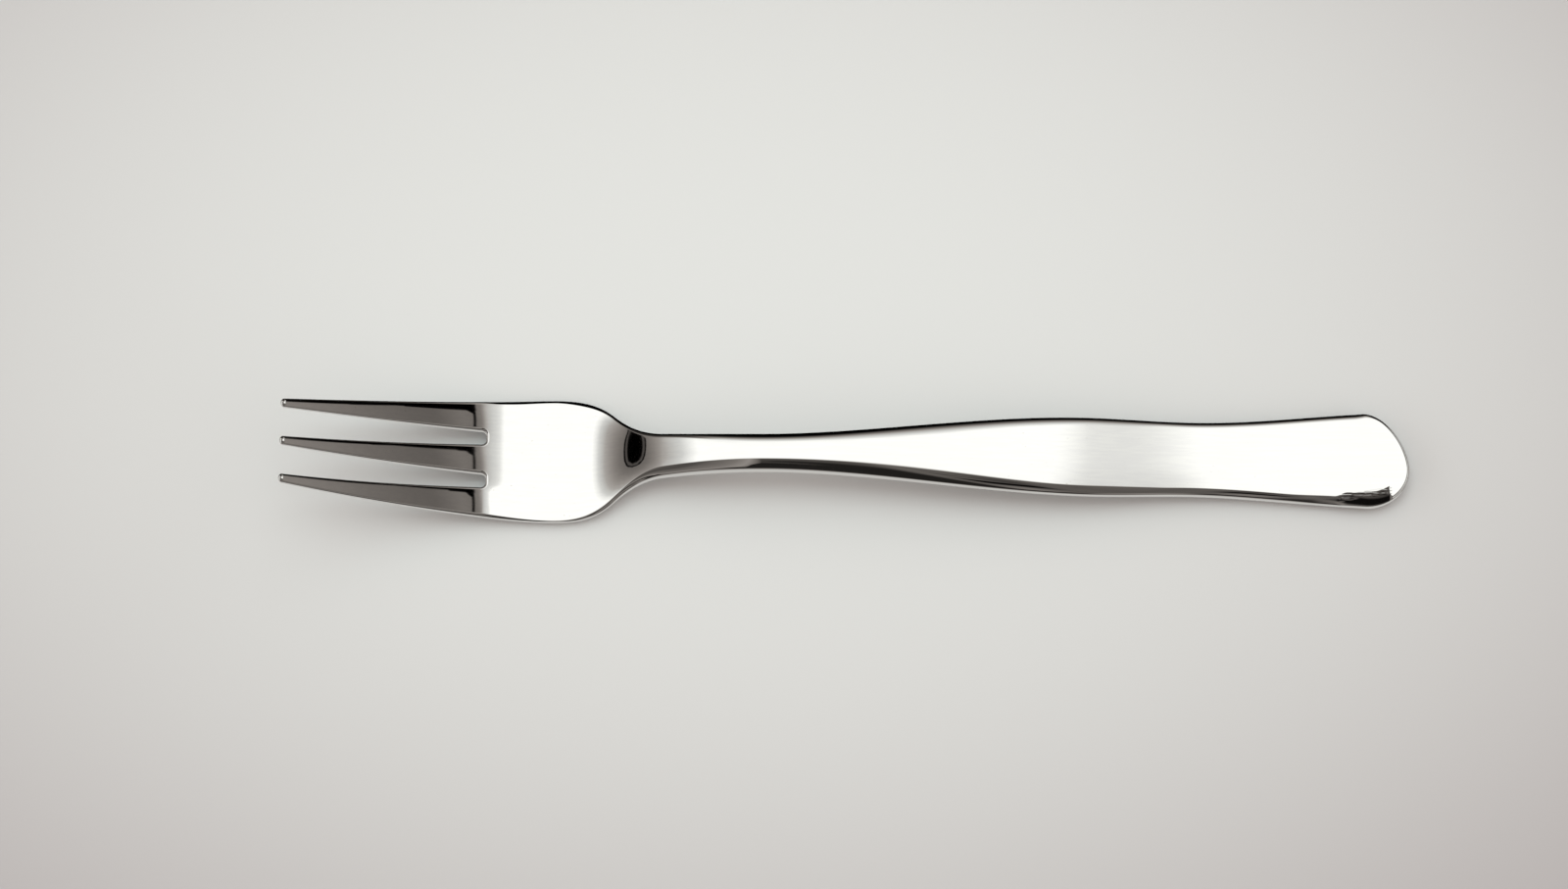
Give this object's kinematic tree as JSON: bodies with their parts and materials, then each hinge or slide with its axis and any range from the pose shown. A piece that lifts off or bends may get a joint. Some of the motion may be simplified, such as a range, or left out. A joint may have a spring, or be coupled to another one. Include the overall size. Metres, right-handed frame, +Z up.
{
  "type": "steak fork",
  "caption": "Polished steel steak fork with long tapered tines, a flat head, a thick arched neck and a broad handle that runs in a gentle wave to a slanted end.",
  "frame": {"origin": "on the table under the middle of the fork's bounding box, with the fork lying as it does on a table", "axes": "+X along the fork from the tines to the end of the handle, +Y across it to the user's right, +Z up out of the table"},
  "size_m": [0.2034, 0.0228, 0.0168],
  "materials": {
    "steel": "polished"
  },
  "bodies": {
    "root": {"left_tine": "steel", "middle_tine": "steel", "right_tine": "steel", "head": "steel", "neck": "steel", "handle": "steel"}
  },
  "joints": []
}
